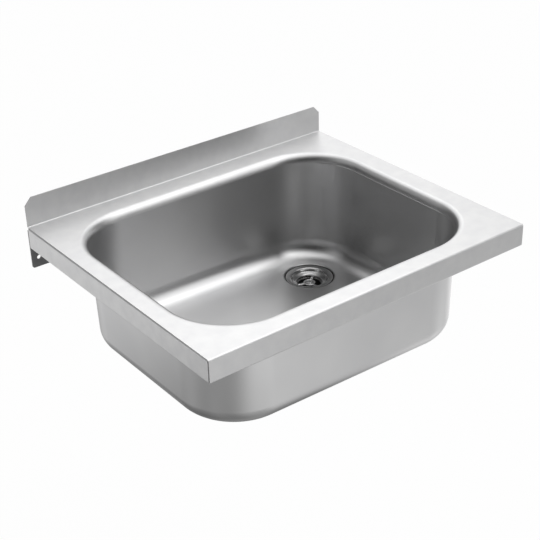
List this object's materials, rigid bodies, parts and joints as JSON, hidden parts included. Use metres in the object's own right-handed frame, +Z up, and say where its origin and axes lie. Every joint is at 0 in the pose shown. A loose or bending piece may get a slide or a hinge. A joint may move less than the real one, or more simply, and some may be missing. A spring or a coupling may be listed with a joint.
{
  "type": "wall-mounted utility sink",
  "caption": "Wall-hung stainless utility sink: folded deck with rear upstand and aprons, deep rounded bowl, screwed strainer waste and drilled wall brackets.",
  "frame": {"origin": "centre of the four wall-screw holes, on the face of the wall", "axes": "+X to the right along the wall, +Y into the wall, +Z up"},
  "size_m": [0.6, 0.5, 0.3311],
  "materials": {
    "satin_stainless": "satin",
    "polished_stainless": "polished",
    "bracket_steel": "mill",
    "zinc_fasteners": "zinc plated",
    "bitumen_pad": "matte",
    "black_rubber": "matte",
    "black_plastic": "moulded",
    "brass": "turned"
  },
  "bodies": {
    "sink": {"bowl": "satin_stainless", "bowl_sound_pad": "bitumen_pad", "bracket_nuts": "zinc_fasteners", "bracket_studs": "zinc_fasteners", "bracket_washers": "zinc_fasteners", "deck_sheet": "satin_stainless", "end_plate_left": "satin_stainless", "end_plate_right": "satin_stainless", "outlet_tail": "black_plastic", "strainer_cross": "polished_stainless", "wall_bracket_left": "bracket_steel", "wall_bracket_right": "bracket_steel", "waste_body": "black_plastic", "waste_flange": "polished_stainless", "waste_insert": "brass", "waste_top_seal": "black_rubber", "waste_under_seal": "black_rubber"},
    "screw": {"waste_screw": "polished_stainless"}
  },
  "joints": [
    {"name": "waste_screw_turn", "type": "hinge", "parent": "sink", "child": "screw", "pos_m": [0.158, -0.143, -0.17119], "axis": [0, 0, 1], "continuous": true}
  ]
}
